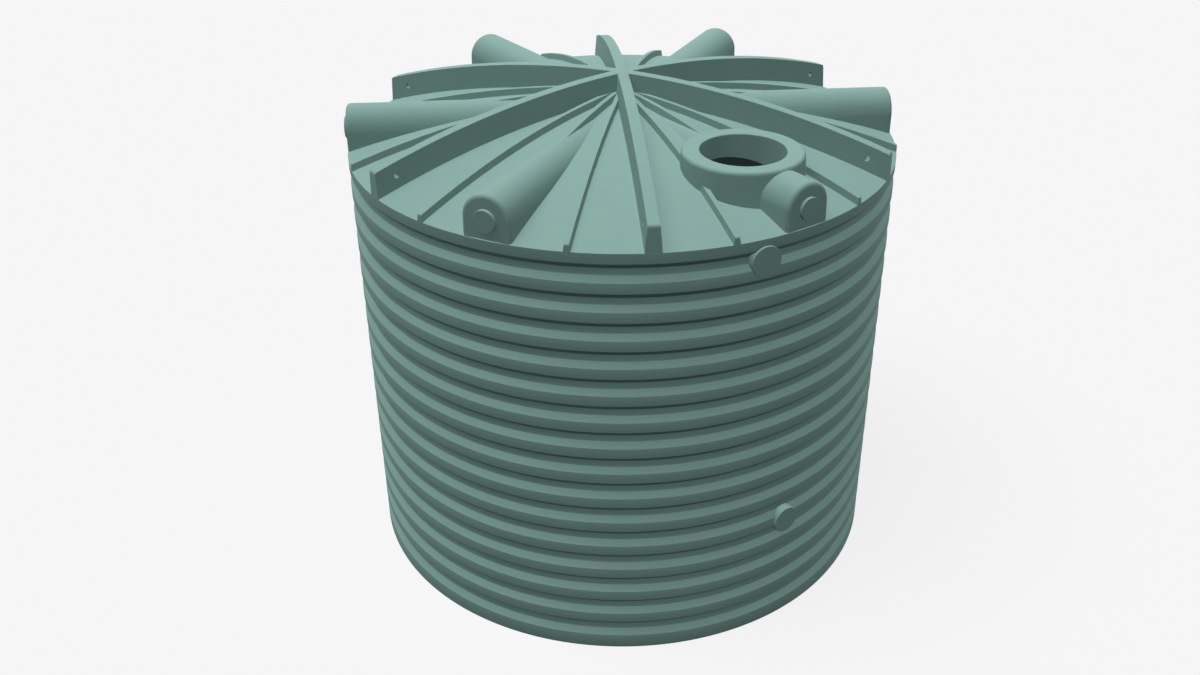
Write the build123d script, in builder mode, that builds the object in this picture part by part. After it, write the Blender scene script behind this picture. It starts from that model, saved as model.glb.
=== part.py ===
from build123d import *
import os
from math import asin, cos, degrees, radians, sqrt, tan

# Round corrugated water tank with a domed, ribbed roof, in millimetres.
# The origin is the middle of the underside, +Z is up, and azimuths are degrees from the
# front (-Y), growing towards the right (+X).

# Corrugated wall
crest_radius = 1650.0
corrugation_depth = 29.0
corrugation_count = 15
crest_height = 61.7
valley_height = 40.4
slope_height = 33.1
base_band_height = 91.0
rim_band_height = 59.4
wall_thickness = 8.0
wall_segment_count = 12

# Floor
floor_thickness = 10.0

# Domed roof
dome_rise = 263.0
roof_thickness = 8.0
roof_panel_count = 6

# Deep ribs, which cross at the middle of the roof and carry the lifting holes
deep_rib_height = 141.0
deep_rib_base_width = 94.0
deep_rib_top_width = 64.0
deep_rib_end_radius = 18.0
lifting_hole_diameter = 30.0
lifting_hole_from_rim = 125.0
lifting_hole_above_eave = 110.0

# Small ribs, three on each roof panel
small_rib_height = 38.0
small_rib_base_width = 44.0
small_rib_top_width = 26.0
small_rib_end_radius = 8.0
small_rib_spacing = 15.0
small_rib_start = 80.0

# Barrels, the arched housings between the deep ribs
barrel_crown_radius = 140.0
barrel_draft = 1.0
barrel_axis_above_eave = 107.0
barrel_wall = 8.0
barrel_edge_radius = 22.0
barrel_boss_diameter = 128.0
barrel_boss_depth = 18.0

# Manhole collar, a hollow ring on the roof
manhole_azimuth = 30.0
manhole_centre_from_rim = 530.0
manhole_top_above_eave = 260.0
manhole_bore_diameter = 470.0
manhole_neck_below_roof = 50.0
collar_top_radius = 334.0
collar_draft = 3.0
collar_edge_radius = 20.0
collar_wall = 8.0

# Pads on the wall for the overflow and the outlet
overflow_azimuth = 21.0
overflow_height = 2488.0
overflow_diameter = 174.0
overflow_proud = 12.0
outlet_azimuth = 30.0
outlet_height = 724.0
outlet_diameter = 164.0
outlet_proud = 18.0

# Sizes that follow from those above
groove_height = 2 * slope_height + valley_height
corrugation_pitch = groove_height + crest_height
eave_height = (
    base_band_height
    + corrugation_count * corrugation_pitch
    - crest_height
    + rim_band_height
)
valley_radius = crest_radius - corrugation_depth
inner_radius = valley_radius - wall_thickness
wall_top = eave_height - roof_thickness
segment_angle = 360 / wall_segment_count
panel_angle = 360 / roof_panel_count
dome_radius = (crest_radius**2 + dome_rise**2) / (2 * dome_rise)
dome_centre = eave_height + dome_rise - dome_radius
rim_angle = degrees(asin(crest_radius / dome_radius))
barrel_axis_height = eave_height + barrel_axis_above_eave
barrel_crown_height = barrel_axis_height + barrel_crown_radius
barrel_inner_end = sqrt(dome_radius**2 - (barrel_crown_height - dome_centre) ** 2)
manhole_centre_radius = crest_radius - manhole_centre_from_rim
manhole_top = eave_height + manhole_top_above_eave
manhole_sector = round(manhole_azimuth / panel_angle - 0.5)
beyond_rim = crest_radius + 2 * dome_rise
above_roof = eave_height + 2 * dome_rise

front = Axis((0, 0, 0), (0, -1, 0))

os.makedirs("parts", exist_ok=True)


def barrel_half_width(depth, inset=0.0):
    """Half the width of a barrel at a depth under its axis, or of its hollow at an inset."""
    slope = radians(barrel_draft)
    return (barrel_crown_radius - inset) / cos(slope) + depth * tan(slope)


barrel_end = sqrt(crest_radius**2 - barrel_half_width(barrel_axis_above_eave) ** 2)


def across(distance=0.0):
    """Upright plane square to the front direction, at a distance from the tank's axis."""
    return Plane(origin=(0, -distance, 0), x_dir=(1, 0, 0), z_dir=(0, -1, 0))


def turned(azimuth):
    """The turn about the tank's axis that takes the front to an azimuth."""
    return Location((0, 0, 0), (0, 0, azimuth))


def save(part, name):
    """Name a finished piece and write it."""
    part.label = name
    export_step(part, f"parts/{name}.step")


# The ball whose top is the outer face of the dome, lying on its side
with BuildPart() as dome_ball:
    with Locations((0, 0, dome_centre)):
        Sphere(dome_radius, rotation=(90, 0, 0))

# The space under the dome, as wide as the tank is inside
with BuildPart() as under_roof:
    with Locations((0, 0, dome_centre)):
        Sphere(dome_radius - roof_thickness, rotation=(90, 0, 0))
    with BuildSketch(Plane.XY.offset(wall_top)):
        Circle(inner_radius)
    extrude(amount=dome_rise, mode=Mode.INTERSECT)


def arched_rib(height, base_width, top_width, end_radius, start=0.0):
    """A drafted rib at the front that follows the dome out to the rim, flush with the wall."""
    low = dome_centre + dome_radius - 2 * roof_thickness
    high = dome_centre + dome_radius + height
    with BuildPart() as rib:
        with BuildSketch(across()):
            with BuildLine():
                Polyline(
                    (-base_width / 2, low),
                    (base_width / 2, low),
                    (top_width / 2, high),
                    (-top_width / 2, high),
                    close=True,
                )
            make_face()
        revolve(axis=Axis((0, 0, dome_centre), (1, 0, 0)), revolution_arc=rim_angle + panel_angle / 20)
        split(bisect_by=across(sqrt(crest_radius**2 - (base_width / 2) ** 2)), keep=Keep.BOTTOM)
        if start:
            split(bisect_by=across(start), keep=Keep.TOP)
        add(dome_ball.part, mode=Mode.SUBTRACT)
        end_face = rib.faces().sort_by(front)[-1]
        fillet(end_face.edges().sort_by(Axis.Z)[-1], radius=end_radius)
    return rib.part


def arch(inset=0.0):
    """Section of a barrel: drafted sides that run smoothly into a round crown."""
    foot = barrel_half_width(barrel_axis_height - wall_top, inset)
    with BuildSketch(across(barrel_inner_end / 2)) as section:
        with BuildLine():
            crown = CenterArc(
                (0, barrel_axis_height), barrel_crown_radius - inset, barrel_draft, 180 - 2 * barrel_draft
            )
            Polyline(crown @ 1, (-foot, wall_top), (foot, wall_top), crown @ 0)
        make_face()
    return section.sketch


# Floor disc, inside the foot of the wall
with BuildPart() as tank_floor:
    Cylinder(inner_radius, floor_thickness, align=(Align.CENTER, Align.CENTER, Align.MIN))
save(tank_floor.part, "tank_floor")

# Wall segment at the front: the corrugated outer face over a plain inner face
outline = [(inner_radius, 0), (crest_radius, 0), (crest_radius, base_band_height)]
for groove in range(corrugation_count):
    foot = base_band_height + groove * corrugation_pitch
    outline += [
        (valley_radius, foot + slope_height),
        (valley_radius, foot + slope_height + valley_height),
        (crest_radius, foot + groove_height),
    ]
    if groove < corrugation_count - 1:
        outline.append((crest_radius, foot + corrugation_pitch))
outline += [(crest_radius, wall_top), (inner_radius, wall_top)]
with BuildPart() as front_segment:
    with BuildSketch(Plane.XZ) as section:
        with BuildLine():
            Polyline(*outline, close=True)
        make_face()
    revolve(axis=Axis.Z, revolution_arc=segment_angle)
for index in range(wall_segment_count):
    with BuildPart() as wall_segment:
        with Locations(turned((index - 0.5) * segment_angle - 90)):
            add(front_segment.part)
    save(wall_segment.part, f"wall_segment_{index + 1:02d}")

# Deep rib at the front, trimmed to a point where the six meet, with its lifting hole
deep_rib_shape = arched_rib(
    deep_rib_height, deep_rib_base_width, deep_rib_top_width, deep_rib_end_radius
)
with BuildPart() as front_rib:
    add(deep_rib_shape)
    for side in (-1, 1):
        wedge_side = Plane.XZ.rotated((0, 0, side * panel_angle / 2 - 90))
        split(bisect_by=wedge_side, keep=Keep.TOP if side > 0 else Keep.BOTTOM)
    with BuildSketch(Plane.YZ):
        with Locations((lifting_hole_from_rim - crest_radius, eave_height + lifting_hole_above_eave)):
            Circle(lifting_hole_diameter / 2)
    extrude(amount=deep_rib_base_width, both=True, mode=Mode.SUBTRACT)
for index in range(roof_panel_count):
    with BuildPart() as deep_rib:
        with Locations(turned(index * panel_angle)):
            add(front_rib.part)
    save(deep_rib.part, f"deep_rib_{index + 1}")

# The manhole collar as one drafted solid, placed as if its sector faced the front
collar_foot_radius = collar_top_radius + manhole_top_above_eave * tan(radians(collar_draft))
collar_middle = (0, -manhole_centre_radius, manhole_top - manhole_top_above_eave / 2)
with BuildPart() as collar_core:
    with Locations(collar_middle):
        Cone(collar_foot_radius, collar_top_radius, manhole_top_above_eave)
    fillet(collar_core.edges().group_by(Axis.Z)[-1], radius=collar_edge_radius)

# Barrel at the front, first as one solid with the edge of its end face rounded
with BuildPart() as barrel_core:
    extrude(arch(), amount=barrel_end - barrel_inner_end / 2, dir=(0, -1, 0))
    end_face = barrel_core.faces().sort_by(front)[-1]
    fillet(end_face.edges().sort_by(Axis.Z)[1:], radius=barrel_edge_radius)
with BuildPart() as barrel_hollow:
    extrude(arch(barrel_wall), amount=barrel_end - barrel_wall - barrel_inner_end / 2, dir=(0, -1, 0))
with BuildPart() as front_barrel:
    add(barrel_core.part)
    add(barrel_hollow.part, mode=Mode.SUBTRACT)
    with BuildSketch(across(barrel_end - barrel_wall)):
        with Locations((0, barrel_axis_height)):
            Circle(barrel_boss_diameter / 2)
    extrude(amount=barrel_wall + barrel_boss_depth)
    add(dome_ball.part, mode=Mode.SUBTRACT)
with BuildPart() as manhole_barrel:
    add(front_barrel.part)
    add(collar_core.part, mode=Mode.SUBTRACT)
for index in range(roof_panel_count):
    with BuildPart() as roof_barrel:
        with Locations(turned((index + 0.5) * panel_angle)):
            add(manhole_barrel.part if index == manhole_sector else front_barrel.part)
    save(roof_barrel.part, f"roof_barrel_{index + 1}")

# What the barrel's hollow takes out of the roof panel under it
with BuildPart() as panel_slot:
    add(barrel_hollow.part)
    with BuildSketch(Plane.XY.offset(wall_top)):
        Circle(beyond_rim)
        Circle(inner_radius - barrel_wall, mode=Mode.SUBTRACT)
        Circle(barrel_inner_end + barrel_crown_radius)
    extrude(amount=above_roof - wall_top, mode=Mode.SUBTRACT)

# Roof panels: dome sectors, open under the barrel, and under the manhole bored for its neck
with BuildPart() as plain_sector:
    with BuildSketch(Plane.XY.offset(wall_top)):
        with BuildLine():
            rim = CenterArc((0, 0), crest_radius, -90 - panel_angle / 2, panel_angle)
            Polyline(rim @ 1, (0, 0), rim @ 0)
        make_face()
    extrude(amount=above_roof - wall_top)
    add(dome_ball.part, mode=Mode.INTERSECT)
    add(under_roof.part, mode=Mode.SUBTRACT)
with BuildPart() as front_panel:
    add(plain_sector.part)
    add(panel_slot.part, mode=Mode.SUBTRACT)
with BuildPart() as manhole_slot:
    add(panel_slot.part)
    add(collar_core.part, mode=Mode.SUBTRACT)
with BuildPart() as manhole_panel:
    add(plain_sector.part)
    add(manhole_slot.part, mode=Mode.SUBTRACT)
    with BuildSketch(Plane.XY.offset(wall_top)):
        with Locations((0, -manhole_centre_radius)):
            Circle(manhole_bore_diameter / 2 + collar_wall)
    extrude(amount=above_roof - wall_top, mode=Mode.SUBTRACT)
for index in range(roof_panel_count):
    with BuildPart() as roof_panel:
        with Locations(turned((index + 0.5) * panel_angle)):
            add(manhole_panel.part if index == manhole_sector else front_panel.part)
    save(roof_panel.part, f"roof_panel_{index + 1}")

# Small ribs, three on each roof panel, run into the deep ribs, the barrel and the collar
small_rib_shape = arched_rib(
    small_rib_height, small_rib_base_width, small_rib_top_width, small_rib_end_radius, small_rib_start
)
whole_ribs = []
cut_ribs = []
for step in (-1, 0, 1):
    with BuildPart() as small_rib:
        with Locations(turned(step * small_rib_spacing)):
            add(small_rib_shape)
        for side in (-1, 1):
            with Locations(turned(side * panel_angle / 2)):
                add(front_rib.part, mode=Mode.SUBTRACT)
        if step == 0:
            split(bisect_by=across((barrel_inner_end + barrel_end) / 2), keep=Keep.BOTTOM)
            add(barrel_core.part, mode=Mode.SUBTRACT)
    with BuildPart() as cut_rib:
        add(small_rib.part)
        add(collar_core.part, mode=Mode.SUBTRACT)
    whole_ribs.append(small_rib.part)
    cut_ribs.append(cut_rib.part)
for index in range(roof_panel_count):
    with BuildPart() as small_ribs:
        with Locations(turned((index + 0.5) * panel_angle)):
            add(cut_ribs if index == manhole_sector else whole_ribs)
    save(small_ribs.part, f"small_ribs_{index + 1}")

# The space below the neck, which ends parallel to the roof
with BuildPart() as under_neck:
    with Locations((0, 0, dome_centre)):
        Sphere(dome_radius - roof_thickness - manhole_neck_below_roof, rotation=(90, 0, 0))

# Neck of the manhole, the tube that goes down through the roof
with BuildPart() as neck:
    with BuildSketch(Plane.XY.offset(manhole_top)):
        with Locations((0, -manhole_centre_radius)):
            Circle(manhole_bore_diameter / 2 + collar_wall)
            Circle(manhole_bore_diameter / 2, mode=Mode.SUBTRACT)
    extrude(amount=-manhole_top_above_eave)
    add(under_neck.part, mode=Mode.SUBTRACT)

# Manhole collar: an upside-down channel turned round the neck, its skirt standing on the roof
with BuildPart() as hollow_collar:
    with BuildSketch(Plane(origin=(0, -manhole_centre_radius, 0), x_dir=(0, -1, 0), z_dir=(-1, 0, 0))):
        with BuildLine():
            Polyline(
                (collar_foot_radius - collar_wall, eave_height),
                (collar_foot_radius, eave_height),
                (collar_top_radius, manhole_top),
                (manhole_bore_diameter / 2, manhole_top),
                (manhole_bore_diameter / 2, manhole_top - collar_wall),
                (collar_top_radius - collar_wall, manhole_top - collar_wall),
                close=True,
            )
        profile = make_face()
        outer_corner = profile.vertices().group_by(Axis.Y)[-1].sort_by(Axis.X)[-1]
        fillet(outer_corner, radius=collar_edge_radius)
    revolve(axis=Axis((0, -manhole_centre_radius, 0), (0, 0, 1)))
    with Locations((0, 0, dome_centre)):
        Sphere(dome_radius, rotation=(90, 0, 90), mode=Mode.SUBTRACT)
    add(neck.part)
with BuildPart() as manhole_collar:
    with Locations(turned((manhole_sector + 0.5) * panel_angle)):
        add(hollow_collar.part)
save(manhole_collar.part, "manhole_collar")

# Flat round pads on the wall, bedded in its grooves
pads = {
    "overflow_pad": (overflow_azimuth, overflow_height, overflow_diameter, overflow_proud),
    "outlet_pad": (outlet_azimuth, outlet_height, outlet_diameter, outlet_proud),
}
foot_radius = valley_radius - wall_thickness / 2
for name, (azimuth, height, diameter, proud) in pads.items():
    with BuildPart() as front_pad:
        with BuildSketch(across(foot_radius)):
            with Locations((0, height)):
                Circle(diameter / 2)
        extrude(amount=crest_radius + proud - foot_radius)
        with Locations(turned(-0.5 * segment_angle - 90)):
            add(front_segment.part, mode=Mode.SUBTRACT)
    with BuildPart() as pad:
        with Locations(turned(azimuth)):
            add(front_pad.part)
    save(pad.part, name)
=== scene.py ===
from math import hypot, pi, radians

import bmesh
import bpy
from bpy.props import FloatProperty, FloatVectorProperty, IntProperty, PointerProperty
from mathutils import Matrix, Vector


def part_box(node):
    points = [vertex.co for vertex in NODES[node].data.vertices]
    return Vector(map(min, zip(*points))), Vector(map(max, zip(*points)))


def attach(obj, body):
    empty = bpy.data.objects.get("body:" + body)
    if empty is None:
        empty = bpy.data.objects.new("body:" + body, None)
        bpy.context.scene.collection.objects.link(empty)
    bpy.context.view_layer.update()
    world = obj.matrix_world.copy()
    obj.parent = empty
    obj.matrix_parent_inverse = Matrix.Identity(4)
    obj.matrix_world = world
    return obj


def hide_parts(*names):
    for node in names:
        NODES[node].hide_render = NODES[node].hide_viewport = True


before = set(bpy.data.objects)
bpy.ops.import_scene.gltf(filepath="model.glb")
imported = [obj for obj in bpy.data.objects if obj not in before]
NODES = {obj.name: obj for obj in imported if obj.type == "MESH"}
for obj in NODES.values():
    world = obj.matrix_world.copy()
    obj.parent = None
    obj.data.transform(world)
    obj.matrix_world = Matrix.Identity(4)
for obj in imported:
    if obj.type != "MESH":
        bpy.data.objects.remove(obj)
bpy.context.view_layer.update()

bl_info = {
    "name": "Round Water Tank",
    "version": (1, 0, 0),
    "blender": (4, 5, 0),
    "location": "View3D > Sidebar > Tank",
    "description": "Dresses a round corrugated water tank and lights it in a plain studio",
    "category": "Object",
}


# Small lengths, in metres, and angles that tell edges and faces apart

INNER_REACH = 0.001
FACE_DEPTH = 0.001
FOOT_CLEARANCE = 0.012
HUB_RADIUS = 0.12
MERGE_DISTANCE = 0.00001
FLAT_ANGLE = radians(0.2)
SHARP_ANGLE = radians(35)
SMOOTH_ANGLE = radians(28)
WALL_SMOOTH_ANGLE = radians(40)
EDGE_SEGMENTS = 2
PLAIN_CORNERS = 3


# Places read from the frame

def names_of(stem):
    """The CAD nodes whose names start with a stem, in order."""
    return sorted(name for name in NODES if name.startswith(stem))


def corner_radius_of(node):
    """Largest distance of a node's corners from the tank's axis."""
    return max(hypot(v.co.x, v.co.y) for v in NODES[node].data.vertices)


def nearest_radius_of(node):
    """Smallest distance of a node's corners from the tank's axis."""
    return min(hypot(v.co.x, v.co.y) for v in NODES[node].data.vertices)


CREST_RADIUS = corner_radius_of("wall_segment_01")
INNER_RADIUS = nearest_radius_of("wall_segment_01")
WALL_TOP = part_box("wall_segment_01")[1].z
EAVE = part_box("roof_barrel_4")[0].z
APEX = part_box("roof_panel_4")[1].z
DOME_RISE = APEX - EAVE
DOME_RADIUS = (CREST_RADIUS**2 + DOME_RISE**2) / (2 * DOME_RISE)
DOME_CENTRE = APEX - DOME_RADIUS
MANHOLE_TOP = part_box("manhole_collar")[1].z


# Sizes and colours that a user would change

class TankSizes(bpy.types.PropertyGroup):
    """Sizes of the tank's visible skin."""

    groove_count: IntProperty(
        name="Grooves", description="Grooves round the wall", default=15, min=1
    )
    groove_depth: FloatProperty(
        name="Groove depth", description="From crest to valley", default=0.029, unit="LENGTH"
    )
    crest_height: FloatProperty(
        name="Crest height", description="Flat of each crest", default=0.0617, unit="LENGTH"
    )
    valley_height: FloatProperty(
        name="Valley height", description="Flat of each valley", default=0.0404, unit="LENGTH"
    )
    slope_height: FloatProperty(
        name="Slope height", description="Height of each sloping side", default=0.0331,
        unit="LENGTH",
    )
    base_band: FloatProperty(
        name="Base band", description="Plain band at the foot", default=0.091, unit="LENGTH"
    )
    wall_edge: FloatProperty(
        name="Wall edges", description="Rounding of the corrugation's edges", default=0.002,
        unit="LENGTH",
    )
    turn_steps: IntProperty(
        name="Steps", description="Facets round the tank", default=240, min=24
    )
    deep_rib_edge: FloatProperty(
        name="Deep rib edges", description="Rounding of a deep rib's edges", default=0.006,
        unit="LENGTH",
    )
    small_rib_edge: FloatProperty(
        name="Small rib edges", description="Rounding of a small rib's edges", default=0.004,
        unit="LENGTH",
    )
    boss_edge: FloatProperty(
        name="Boss edges", description="Rounding of the barrels' bosses and the pads",
        default=0.003, unit="LENGTH",
    )
    bore_edge: FloatProperty(
        name="Bore edge", description="Rounding of the manhole's upper edge", default=0.006,
        unit="LENGTH",
    )


class TankColours(bpy.types.PropertyGroup):
    """Colours and finish of the moulded plastic, and the painted shade of its inside."""

    plastic: FloatVectorProperty(
        name="Plastic", description="Colour of the moulded plastic", subtype="COLOR",
        size=3, min=0, max=1, default=(0.267, 0.452, 0.414),
    )
    # The inside colour is painted shade: a darkened plastic for the tank's inner faces and floor,
    # which the shadowless lamps would light
    inside: FloatVectorProperty(
        name="Inside", description="Colour of the darker plastic inside", subtype="COLOR",
        size=3, min=0, max=1, default=(0.060, 0.105, 0.095),
    )
    dust: FloatVectorProperty(
        name="Dust", description="Colour of the fine dust on top", subtype="COLOR",
        size=3, min=0, max=1, default=(0.40, 0.50, 0.46),
    )
    roughness: FloatProperty(
        name="Roughness", description="Roughness of the clean plastic", default=0.6, min=0, max=1,
        subtype="FACTOR",
    )


class StudioSettings(bpy.types.PropertyGroup):
    """Light, floor and camera."""

    overhead: FloatProperty(
        name="Overhead light", description="Strength of the soft light overhead", default=0.22
    )
    overhead_azimuth: FloatProperty(
        name="Overhead azimuth", description="From the front, towards +X", default=radians(280),
        subtype="ANGLE",
    )
    overhead_elevation: FloatProperty(
        name="Overhead elevation", description="Of the overhead light", default=radians(66),
        subtype="ANGLE",
    )
    overhead_spread: FloatProperty(
        name="Overhead spread", description="Spread of the overhead light", default=radians(40),
        subtype="ANGLE",
    )
    back_light: FloatProperty(
        name="Back light", description="Strength of the light from behind", default=0.22
    )
    back_azimuth: FloatProperty(
        name="Back azimuth", description="From the front, towards +X", default=radians(207),
        subtype="ANGLE",
    )
    back_elevation: FloatProperty(
        name="Back elevation", description="Of the light from behind", default=radians(64),
        subtype="ANGLE",
    )
    side_light: FloatProperty(
        name="Side light", description="Strength of each light of the ring", default=0.135
    )
    side_count: IntProperty(
        name="Side light count", description="Lights in the ring round the tank", default=6, min=3
    )
    side_elevation: FloatProperty(
        name="Side elevation", description="Of the ring of lights", default=radians(40),
        subtype="ANGLE",
    )
    fill: FloatProperty(
        name="Fill", description="Even light from all sides", default=0.02
    )
    background: FloatProperty(
        name="Background", description="Brightness of the floor and the backdrop", default=0.94
    )
    camera_azimuth: FloatProperty(
        name="Camera azimuth", description="From the front, towards +X", default=radians(-5.4113),
        subtype="ANGLE",
    )
    camera_distance: FloatProperty(
        name="Camera distance", description="From the tank's axis", default=6.87655, unit="LENGTH"
    )
    camera_height: FloatProperty(
        name="Camera height", description="Above the floor", default=5.20585, unit="LENGTH"
    )
    camera_pitch: FloatProperty(
        name="Camera pitch", description="Down from level", default=0.4973, subtype="ANGLE"
    )
    camera_lens: FloatProperty(
        name="Lens", description="Focal length on a 36 mm sensor, in millimetres", default=35.577,
        unit="CAMERA",
    )


GROUPS = (
    ("tank_sizes", TankSizes),
    ("tank_colours", TankColours),
    ("studio_settings", StudioSettings),
)


# Mesh helpers

def ring_face(bm, points):
    """One face through points given as (distance from the axis, height), at the front."""
    return bm.faces.new([bm.verts.new((0, -r, z)) for r, z in points])


def round_corners(bm, verts, offset):
    """Round the corners of a flat outline."""
    bmesh.ops.bevel(
        bm, geom=verts, offset=offset, offset_type="OFFSET", segments=EDGE_SEGMENTS,
        profile=0.5, affect="VERTICES", material=-1, clamp_overlap=True,
    )


def spin_full(bm, steps):
    """Turn every edge of the outline once round the tank's axis and drop the outline's face."""
    faces = list(bm.faces)
    edges = list(bm.edges)
    bmesh.ops.delete(bm, geom=faces, context="FACES_ONLY")
    bmesh.ops.spin(
        bm, geom=edges, cent=(0, 0, 0), axis=(0, 0, 1), dvec=(0, 0, 0),
        angle=2 * pi, steps=steps, use_merge=True, use_duplicate=False,
    )
    bmesh.ops.remove_doubles(bm, verts=bm.verts, dist=MERGE_DISTANCE)
    bmesh.ops.recalc_face_normals(bm, faces=bm.faces)


def object_from(bm, name, smooth_angle=SMOOTH_ANGLE):
    """Make an object of a bmesh, smooth but for its open edges and those sharper than an angle."""
    mesh = bpy.data.meshes.new(name)
    for face in bm.faces:
        face.smooth = True
    for edge in bm.edges:
        edge.smooth = len(edge.link_faces) == 2 and edge.calc_face_angle(0) < smooth_angle
    bm.to_mesh(mesh)
    bm.free()
    piece = bpy.data.objects.new(name, mesh)
    bpy.context.scene.collection.objects.link(piece)
    return piece


def settle(piece, material, *nodes):
    """Give a piece its finish and its body, and hide the nodes it stands for."""
    piece.data.materials.append(material)
    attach(piece, "root")
    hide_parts(*nodes)


# The moulded plastic: sizes in metres, noise scales per metre, details in octaves, and shares

GRAIN_SIZE = 0.0035
GRAIN_DETAIL = 2
GRAIN_ROUGHNESS = 0.5
RIPPLE_SCALE = 3.5
RIPPLE_SHARE = 0.4
RELIEF_STRENGTH = 0.25
RELIEF_DEPTH = 0.0006
CLOUD_SIZE = 0.6
CLOUD_DETAIL = 5
CLOUD_ROUGHNESS = 0.6
CLOUD_RANGE = (0.3, 0.7)
CLOUD_SHADE = 0.94
CLOUD_GLOSS = 0.12
DUST_FACING = (0.55, 1.0)
DUST_SCALE = 9
DUST_DETAIL = 8
DUST_ROUGHNESS = 0.65
DUST_RANGE = (0.35, 0.75)
SPECULAR_LEVEL = 0.15

# Each plastic: its colour, and the share of dust where it faces up
FINISHES = {
    "wall_plastic": ("plastic", 0.08),
    # The inner faces take the painted shade of the inside, a darkened plastic with no dust
    "inner_plastic": ("inside", 0.0),
    "roof_plastic": ("plastic", 0.10),
    "rib_plastic": ("plastic", 0.12),
    "barrel_plastic": ("plastic", 0.10),
}


# Shader node groups

NUMBER = "NodeSocketFloat"

# Places of a Mix node's sockets when it mixes colours
MIX_MASK = 0
MIX_FIRST = 6
MIX_SECOND = 7
MIX_RESULT = 2


def new_group(name, inputs, output):
    """A shader node group with number inputs and one number output, and its two end nodes."""
    group = bpy.data.node_groups.new(name, "ShaderNodeTree")
    for socket, value in inputs.items():
        made = group.interface.new_socket(name=socket, in_out="INPUT", socket_type=NUMBER)
        made.default_value = value
    group.interface.new_socket(name=output, in_out="OUTPUT", socket_type=NUMBER)
    return group, group.nodes.new("NodeGroupInput"), group.nodes.new("NodeGroupOutput")


def noise(nodes, links, vector, scale, detail, roughness):
    """A noise texture read at a vector socket."""
    texture = nodes.new("ShaderNodeTexNoise")
    texture.inputs["Scale"].default_value = scale
    texture.inputs["Detail"].default_value = detail
    texture.inputs["Roughness"].default_value = roughness
    links.new(vector, texture.inputs["Vector"])
    return texture.outputs["Fac"]


def ramp(nodes, links, value, limits):
    """A value stretched from its two limits to 0 and 1."""
    stretch = nodes.new("ShaderNodeMapRange")
    stretch.inputs["From Min"].default_value, stretch.inputs["From Max"].default_value = limits
    links.new(value, stretch.inputs["Value"])
    return stretch.outputs["Result"]


def maths(nodes, links, operation, first, second):
    """A Math node on two sockets."""
    node = nodes.new("ShaderNodeMath")
    node.operation = operation
    links.new(first, node.inputs[0])
    links.new(second, node.inputs[1])
    return node.outputs[0]


def divided(nodes, links, vector, size):
    """A vector divided by a size, so that a pattern on it has that size."""
    node = nodes.new("ShaderNodeVectorMath")
    node.operation = "DIVIDE"
    links.new(vector, node.inputs[0])
    links.new(size, node.inputs[1])
    return node.outputs["Vector"]


def colour_mix(nodes, links, mask, first, second):
    """A first colour turning into a second where a mask rises. The first may be a socket."""
    node = nodes.new("ShaderNodeMix")
    node.data_type = "RGBA"
    links.new(mask, node.inputs[MIX_MASK])
    if isinstance(first, tuple):
        node.inputs[MIX_FIRST].default_value = first + (1,)
    else:
        links.new(first, node.inputs[MIX_FIRST])
    node.inputs[MIX_SECOND].default_value = second + (1,)
    return node.outputs[MIX_RESULT]


def moulded_grain():
    """Fine orange-peel of a rotationally moulded skin, as a height."""
    group, source, sink = new_group(
        "moulded_grain", {"Grain Size": GRAIN_SIZE, "Ripple": RIPPLE_SHARE}, "Height"
    )
    nodes, links = group.nodes, group.links
    place = nodes.new("ShaderNodeTexCoord").outputs["Object"]
    scaled = divided(nodes, links, place, source.outputs["Grain Size"])
    grain = noise(nodes, links, scaled, 1, GRAIN_DETAIL, GRAIN_ROUGHNESS)
    broad = noise(nodes, links, place, RIPPLE_SCALE, GRAIN_DETAIL, GRAIN_ROUGHNESS)
    ripple = maths(nodes, links, "MULTIPLY", broad, source.outputs["Ripple"])
    links.new(maths(nodes, links, "ADD", grain, ripple), sink.inputs["Height"])
    return group


def cast_mottle():
    """Slow cloudy variation of the moulded colour, from 0 to 1."""
    group, source, sink = new_group("cast_mottle", {"Cloud Size": CLOUD_SIZE}, "Mask")
    nodes, links = group.nodes, group.links
    place = nodes.new("ShaderNodeTexCoord").outputs["Object"]
    scaled = divided(nodes, links, place, source.outputs["Cloud Size"])
    cloud = noise(nodes, links, scaled, 1, CLOUD_DETAIL, CLOUD_ROUGHNESS)
    links.new(ramp(nodes, links, cloud, CLOUD_RANGE), sink.inputs["Mask"])
    return group


def settled_dust():
    """Thin patchy dust where the surface faces up, from 0 to 1."""
    group, source, sink = new_group("settled_dust", {"Amount": 0}, "Mask")
    nodes, links = group.nodes, group.links
    surface = nodes.new("ShaderNodeTexCoord")
    split = nodes.new("ShaderNodeSeparateXYZ")
    links.new(surface.outputs["Normal"], split.inputs[0])
    level = ramp(nodes, links, split.outputs["Z"], DUST_FACING)
    patches = noise(
        nodes, links, surface.outputs["Object"], DUST_SCALE, DUST_DETAIL, DUST_ROUGHNESS
    )
    patchy = maths(nodes, links, "MULTIPLY", level, ramp(nodes, links, patches, DUST_RANGE))
    amount = maths(nodes, links, "MULTIPLY", patchy, source.outputs["Amount"])
    links.new(amount, sink.inputs["Mask"])
    return group


SHARED = {}


def shared(maker):
    """The node group that a maker builds, built once."""
    if maker.__name__ not in SHARED:
        SHARED[maker.__name__] = maker()
    return SHARED[maker.__name__]


def place_group(nodes, maker, **values):
    """Put a shared effect in a material with its own values."""
    node = nodes.new("ShaderNodeGroup")
    node.node_tree = shared(maker)
    for socket, value in values.items():
        node.inputs[socket.replace("_", " ")].default_value = value
    return node


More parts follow.
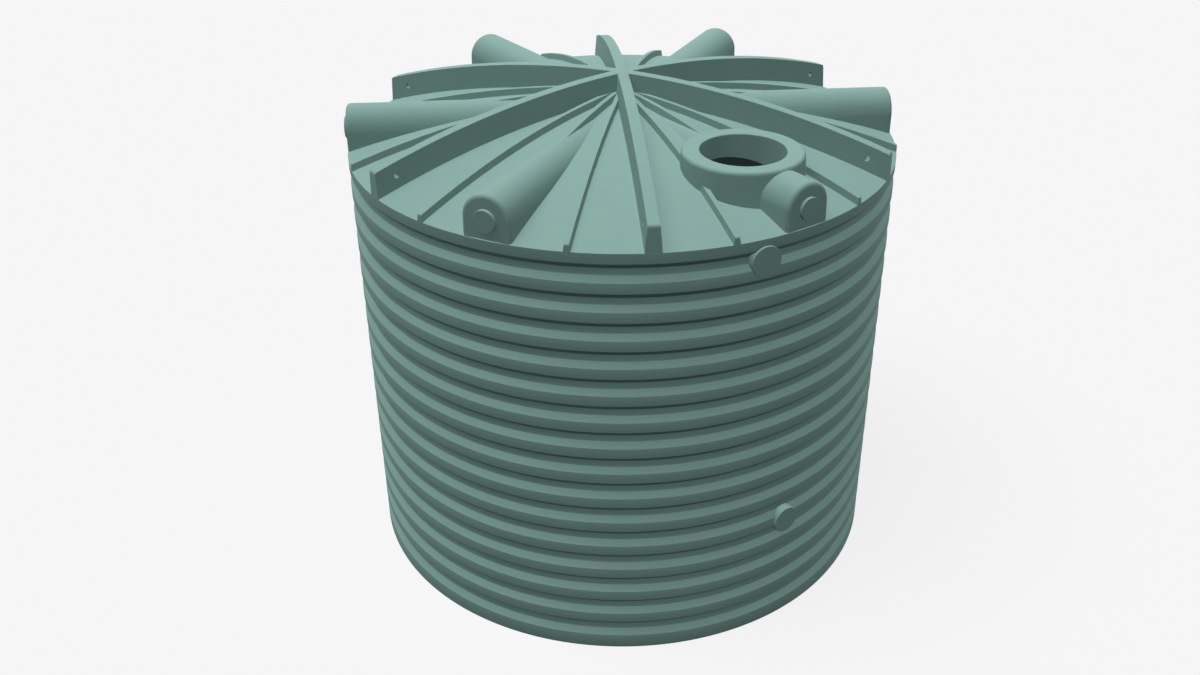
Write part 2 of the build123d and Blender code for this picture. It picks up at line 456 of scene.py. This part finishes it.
def moulded_plastic(name, colour, dust_colour, roughness, dust):
    """Matte moulded plastic with cloudy colour, fine grain and a little dust on top."""
    material = bpy.data.materials.new(name)
    material.use_nodes = True
    nodes, links = material.node_tree.nodes, material.node_tree.links
    shader = nodes["Principled BSDF"]
    shader.inputs["Specular IOR Level"].default_value = SPECULAR_LEVEL
    clouds = place_group(nodes, cast_mottle, Cloud_Size=CLOUD_SIZE).outputs["Mask"]
    dusty = place_group(nodes, settled_dust, Amount=dust).outputs["Mask"]
    shaded = tuple(channel * CLOUD_SHADE for channel in colour)
    clean = colour_mix(nodes, links, clouds, shaded, colour)
    covered = colour_mix(nodes, links, dusty, clean, dust_colour)
    links.new(covered, shader.inputs["Base Color"])
    rough = nodes.new("ShaderNodeMapRange")
    rough.inputs["To Min"].default_value = roughness
    rough.inputs["To Max"].default_value = min(1, roughness + CLOUD_GLOSS)
    links.new(clouds, rough.inputs["Value"])
    links.new(rough.outputs["Result"], shader.inputs["Roughness"])
    peel = place_group(nodes, moulded_grain, Grain_Size=GRAIN_SIZE, Ripple=RIPPLE_SHARE)
    relief = nodes.new("ShaderNodeBump")
    relief.inputs["Strength"].default_value = RELIEF_STRENGTH
    relief.inputs["Distance"].default_value = RELIEF_DEPTH
    links.new(peel.outputs["Height"], relief.inputs["Height"])
    links.new(relief.outputs["Normal"], shader.inputs["Normal"])
    return material


MATERIALS = {}


def plastic(context, name):
    """The moulded plastic under a name, made once."""
    if name not in MATERIALS:
        colours = context.scene.tank_colours
        colour, dust = FINISHES[name]
        MATERIALS[name] = moulded_plastic(
            name, tuple(getattr(colours, colour)), tuple(colours.dust), colours.roughness, dust
        )
    return MATERIALS[name]


# How a CAD node gets its finish and its rounded edges

def dress(stem, material):
    """Give the CAD nodes whose names start with a stem their finish."""
    for name in names_of(stem):
        NODES[name].data.materials.clear()
        NODES[name].data.materials.append(material)


def over_roof(point):
    """Height of a point over the roof's outer face, square to it."""
    return (point - Vector((0, 0, DOME_CENTRE))).length - DOME_RADIUS


def off_the_hub(point):
    """Whether a point stands clear of the roof's face and of the hub."""
    return over_roof(point) > FOOT_CLEARANCE and hypot(point.x, point.y) > HUB_RADIUS


def at_the_top(point):
    """Whether a point lies on the collar's flat upper face."""
    return point.z > MANHOLE_TOP - FACE_DEPTH


def outermost(name):
    """A test for points on the outer flat face of a boss or a pad."""
    corners = [corner.co for corner in NODES[name].data.vertices]
    out = sum((Vector((co.x, co.y, 0)) for co in corners), Vector()).normalized()
    reach = max(co.dot(out) for co in corners)
    return lambda point: point.dot(out) > reach - FACE_DEPTH


def soften(name, width, chosen, material):
    """Put a merged copy of a CAD node in its place, with its chosen sharp edges rounded."""
    bm = bmesh.new()
    bm.from_mesh(NODES[name].data)
    bmesh.ops.remove_doubles(bm, verts=bm.verts, dist=MERGE_DISTANCE)
    bmesh.ops.dissolve_limit(bm, angle_limit=FLAT_ANGLE, verts=bm.verts, edges=bm.edges)
    weight = bm.edges.layers.float.new("bevel_weight_edge")
    rounded = [
        edge for edge in bm.edges
        if edge.calc_face_angle(0) > SHARP_ANGLE
        and chosen((edge.verts[0].co + edge.verts[1].co) / 2)
    ]
    for edge in rounded:
        edge[weight] = 1
    piece = object_from(bm, "rounded_" + name)
    bevel = piece.modifiers.new("rounded edges", "BEVEL")
    bevel.limit_method = "WEIGHT"
    bevel.width = width
    bevel.segments = EDGE_SEGMENTS
    bevel.harden_normals = True
    settle(piece, material, name)


class TANK_OT_wall(bpy.types.Operator):
    """Make the corrugated wall as one turned skin with rounded edges"""

    bl_idname = "tank.wall"
    bl_label = "Corrugated wall"

    def execute(self, context):
        sizes = context.scene.tank_sizes
        valley = CREST_RADIUS - sizes.groove_depth
        groove = 2 * sizes.slope_height + sizes.valley_height
        pitch = groove + sizes.crest_height
        points = [(CREST_RADIUS, 0), (CREST_RADIUS, sizes.base_band)]
        for index in range(sizes.groove_count):
            foot = sizes.base_band + index * pitch
            points += [
                (valley, foot + sizes.slope_height),
                (valley, foot + sizes.slope_height + sizes.valley_height),
                (CREST_RADIUS, foot + groove),
            ]
            if index < sizes.groove_count - 1:
                points.append((CREST_RADIUS, foot + pitch))
        points += [(CREST_RADIUS, WALL_TOP), (INNER_RADIUS, WALL_TOP), (INNER_RADIUS, 0)]
        bm = bmesh.new()
        ring_face(bm, points)
        # The last corners, at the wall's top and inside, stay sharp
        round_corners(bm, list(bm.verts)[:-PLAIN_CORNERS], sizes.wall_edge)
        spin_full(bm, sizes.turn_steps)
        piece = object_from(bm, "corrugated_wall", WALL_SMOOTH_ANGLE)
        settle(piece, plastic(context, "wall_plastic"), *names_of("wall_segment"))
        # The inner faces get painted shade: the darkened inside colour
        piece.data.materials.append(plastic(context, "inner_plastic"))
        for face in piece.data.polygons:
            if hypot(face.center.x, face.center.y) < INNER_RADIUS + INNER_REACH:
                face.material_index = 1
        return {"FINISHED"}


class TANK_OT_roof(bpy.types.Operator):
    """Finish the domed roof panels"""

    bl_idname = "tank.roof"
    bl_label = "Domed roof"

    def execute(self, context):
        dress("roof_panel", plastic(context, "roof_plastic"))
        return {"FINISHED"}


class TANK_OT_deep_ribs(bpy.types.Operator):
    """Finish the six deep ribs with their lifting holes"""

    bl_idname = "tank.deep_ribs"
    bl_label = "Deep ribs"

    def execute(self, context):
        material = plastic(context, "rib_plastic")
        for name in names_of("deep_rib"):
            soften(name, context.scene.tank_sizes.deep_rib_edge, off_the_hub, material)
        return {"FINISHED"}


class TANK_OT_small_ribs(bpy.types.Operator):
    """Finish the small ribs between the deep ones"""

    bl_idname = "tank.small_ribs"
    bl_label = "Small ribs"

    def execute(self, context):
        material = plastic(context, "rib_plastic")
        for name in names_of("small_ribs"):
            soften(name, context.scene.tank_sizes.small_rib_edge, off_the_hub, material)
        return {"FINISHED"}


class TANK_OT_barrels(bpy.types.Operator):
    """Finish the half-round barrels on the roof"""

    bl_idname = "tank.barrels"
    bl_label = "Roof barrels"

    def execute(self, context):
        material = plastic(context, "barrel_plastic")
        for name in names_of("roof_barrel"):
            soften(name, context.scene.tank_sizes.boss_edge, outermost(name), material)
        return {"FINISHED"}


class TANK_OT_manhole(bpy.types.Operator):
    """Finish the collar round the manhole"""

    bl_idname = "tank.manhole"
    bl_label = "Manhole collar"

    def execute(self, context):
        material = plastic(context, "barrel_plastic")
        soften("manhole_collar", context.scene.tank_sizes.bore_edge, at_the_top, material)
        return {"FINISHED"}


class TANK_OT_pads(bpy.types.Operator):
    """Finish the round pads of the overflow and the outlet"""

    bl_idname = "tank.pads"
    bl_label = "Overflow and outlet pads"

    def execute(self, context):
        material = plastic(context, "wall_plastic")
        for name in ("overflow_pad", "outlet_pad"):
            soften(name, context.scene.tank_sizes.boss_edge, outermost(name), material)
        return {"FINISHED"}


class TANK_OT_floor(bpy.types.Operator):
    """Finish the tank's floor, which shows through the manhole, in the painted shade of the inside
    """

    bl_idname = "tank.floor"
    bl_label = "Tank floor"

    def execute(self, context):
        dress("tank_floor", plastic(context, "inner_plastic"))
        return {"FINISHED"}


# The studio

FRAME_WIDTH = 1200
FRAME_HEIGHT = 675
TANK_AXIS_X = 622.152
LENS_AXIS_Y = 297.790
SENSOR_WIDTH = 36
FLOOR_SIZE = 60
FLOOR_MATT_SHARE = 0.35
FLOOR_THROWN_BACK = 0.08
LAMP_SPREAD = radians(10)
WHITE = (1, 1, 1, 1)


def grey(level):
    """An opaque grey of a level."""
    return (level, level, level, 1)


def background_rays(nodes, links):
    """1 for the rays that see the pale background: camera, glossy and transmission rays."""
    path = nodes.new("ShaderNodeLightPath")
    seen = path.outputs["Is Camera Ray"]
    for kind in ("Is Glossy Ray", "Is Transmission Ray"):
        seen = maths(nodes, links, "MAXIMUM", seen, path.outputs[kind])
    return seen


def floor_material(brightness):
    """Pale floor for the camera, dim for the light that it would throw back."""
    material = bpy.data.materials.new("pale_floor")
    material.use_nodes = True
    nodes, links = material.node_tree.nodes, material.node_tree.links
    nodes.remove(nodes["Principled BSDF"])
    output = nodes["Material Output"]
    glow = nodes.new("ShaderNodeEmission")
    glow.inputs["Color"].default_value = grey(brightness)
    matt = nodes.new("ShaderNodeBsdfDiffuse")
    matt.inputs["Color"].default_value = grey(brightness)
    pale = nodes.new("ShaderNodeMixShader")
    pale.inputs[0].default_value = FLOOR_MATT_SHARE
    links.new(glow.outputs[0], pale.inputs[1])
    links.new(matt.outputs[0], pale.inputs[2])
    dim = nodes.new("ShaderNodeBsdfDiffuse")
    dim.inputs["Color"].default_value = grey(FLOOR_THROWN_BACK)
    both = nodes.new("ShaderNodeMixShader")
    links.new(background_rays(nodes, links), both.inputs[0])
    links.new(dim.outputs[0], both.inputs[1])
    links.new(pale.outputs[0], both.inputs[2])
    links.new(both.outputs[0], output.inputs["Surface"])
    return material


def far_lamp(name, strength, azimuth, elevation, spread=LAMP_SPREAD, shadow=False):
    """A far lamp that shows a white face square to it at its strength.

    One without a shadow throws no light back off what it lights.
    """
    light = bpy.data.lights.new(name, "SUN")
    light.energy = strength * pi
    light.angle = spread
    light.use_shadow = shadow
    if not shadow:
        light.cycles.max_bounces = 0
    lamp = bpy.data.objects.new(name, light)
    lamp.rotation_euler = (pi / 2 - elevation, 0, azimuth)
    bpy.context.scene.collection.objects.link(lamp)


class TANK_OT_stage(bpy.types.Operator):
    """Make the floor, the soft light, the backdrop and the camera"""

    bl_idname = "tank.stage"
    bl_label = "Studio"

    def execute(self, context):
        studio = context.scene.studio_settings
        bm = bmesh.new()
        bmesh.ops.create_grid(bm, x_segments=2, y_segments=2, size=FLOOR_SIZE)
        floor = object_from(bm, "studio_floor")
        floor.data.materials.append(floor_material(studio.background))

        world = bpy.data.worlds.new("studio_backdrop")
        context.scene.world = world
        world.use_nodes = True
        nodes, links = world.node_tree.nodes, world.node_tree.links
        fill = nodes["Background"]
        fill.inputs["Color"].default_value = WHITE
        fill.inputs["Strength"].default_value = studio.fill
        shown = nodes.new("ShaderNodeBackground")
        shown.inputs["Color"].default_value = WHITE
        shown.inputs["Strength"].default_value = studio.background
        mixed = nodes.new("ShaderNodeMixShader")
        links.new(background_rays(nodes, links), mixed.inputs[0])
        links.new(fill.outputs[0], mixed.inputs[1])
        links.new(shown.outputs[0], mixed.inputs[2])
        links.new(mixed.outputs[0], nodes["World Output"].inputs["Surface"])

        far_lamp(
            "overhead_light", studio.overhead, studio.overhead_azimuth,
            studio.overhead_elevation, studio.overhead_spread, shadow=True,
        )
        far_lamp("back_light", studio.back_light, studio.back_azimuth, studio.back_elevation)
        for index in range(studio.side_count):
            azimuth = 2 * pi * index / studio.side_count
            far_lamp(f"side_light_{index + 1}", studio.side_light, azimuth, studio.side_elevation)

        lens = bpy.data.cameras.new("studio_camera")
        lens.sensor_fit = "HORIZONTAL"
        lens.sensor_width = SENSOR_WIDTH
        lens.lens = studio.camera_lens
        lens.shift_x = (FRAME_WIDTH / 2 - TANK_AXIS_X) / FRAME_WIDTH
        lens.shift_y = (LENS_AXIS_Y - FRAME_HEIGHT / 2) / FRAME_WIDTH
        camera = bpy.data.objects.new("studio_camera", lens)
        place = Vector((0, -studio.camera_distance, studio.camera_height))
        camera.location = Matrix.Rotation(studio.camera_azimuth, 4, "Z") @ place
        camera.rotation_euler = (pi / 2 - studio.camera_pitch, 0, studio.camera_azimuth)
        context.scene.collection.objects.link(camera)
        context.scene.camera = camera
        context.scene.view_settings.view_transform = "Standard"
        return {"FINISHED"}


class TANK_PT_panel(bpy.types.Panel):
    """Lists the tank's pieces"""

    bl_idname = "TANK_PT_panel"
    bl_label = "Round Water Tank"
    bl_space_type = "VIEW_3D"
    bl_region_type = "UI"
    bl_category = "Tank"

    def draw(self, context):
        for operator in OPERATORS:
            self.layout.operator(operator.bl_idname)


OPERATORS = (
    TANK_OT_stage, TANK_OT_wall, TANK_OT_floor, TANK_OT_roof, TANK_OT_deep_ribs,
    TANK_OT_small_ribs, TANK_OT_barrels, TANK_OT_manhole, TANK_OT_pads,
)


def register():
    for name, group in GROUPS:
        bpy.utils.register_class(group)
        setattr(bpy.types.Scene, name, PointerProperty(type=group))
    for kind in (*OPERATORS, TANK_PT_panel):
        bpy.utils.register_class(kind)


def unregister():
    for kind in reversed((*OPERATORS, TANK_PT_panel)):
        bpy.utils.unregister_class(kind)
    for name, group in reversed(GROUPS):
        delattr(bpy.types.Scene, name)
        bpy.utils.unregister_class(group)


def main():
    register()
    bpy.ops.tank.stage()
    bpy.ops.tank.wall()
    bpy.ops.tank.floor()
    bpy.ops.tank.roof()
    bpy.ops.tank.deep_ribs()
    bpy.ops.tank.small_ribs()
    bpy.ops.tank.barrels()
    bpy.ops.tank.manhole()
    bpy.ops.tank.pads()


if __name__ == "__main__":
    main()
